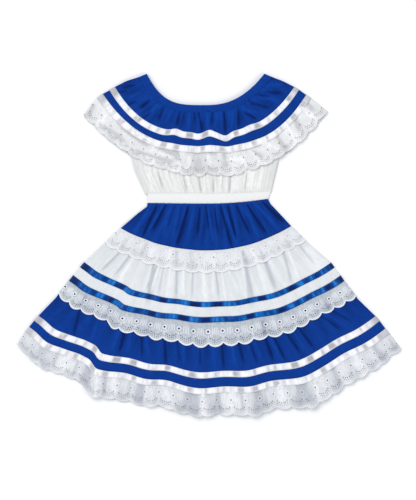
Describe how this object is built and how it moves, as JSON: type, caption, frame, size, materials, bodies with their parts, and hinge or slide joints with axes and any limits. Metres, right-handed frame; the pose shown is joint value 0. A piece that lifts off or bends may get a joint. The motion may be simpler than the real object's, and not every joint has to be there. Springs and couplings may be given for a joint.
{
  "type": "mexican dress",
  "caption": "Off-shoulder campesina dress laid flat: flounced neck, gathered bodice with elastic waist, tiered blue and white skirt with satin ribbons and scalloped eyelet lace.",
  "frame": {"origin": "middle of the dress's outline, on the surface that it lies on", "axes": "+X to the right as seen from the front, +Y up to the neck, +Z out of the surface through the front of the dress"},
  "size_m": [0.7298, 0.6551, 0.015],
  "materials": {
    "blue_cotton": "matte royal blue plain-weave cotton",
    "white_cotton": "matte white plain-weave cotton",
    "white_elastic": "white cotton casing puckered over elastic",
    "eyelet_lace": "white cotton broderie anglaise with a corded scalloped edge",
    "white_satin": "white satin ribbon",
    "blue_satin": "bright blue satin ribbon"
  },
  "bodies": {
    "root": {"neck_casing": "blue_cotton", "flounce": "blue_cotton", "flounce_lace": "eyelet_lace", "flounce_ribbon_upper": "white_satin", "flounce_ribbon_lower": "white_satin", "bodice_front": "white_cotton", "bodice_back": "white_cotton", "waistband": "white_elastic", "tier_1": "blue_cotton", "tier_2": "white_cotton", "tier_3": "blue_cotton", "lace_1": "eyelet_lace", "lace_2": "eyelet_lace", "hem_lace": "eyelet_lace", "blue_ribbon_upper": "blue_satin", "blue_ribbon_lower": "blue_satin", "white_ribbon_upper": "white_satin", "white_ribbon_lower": "white_satin"}
  },
  "joints": []
}
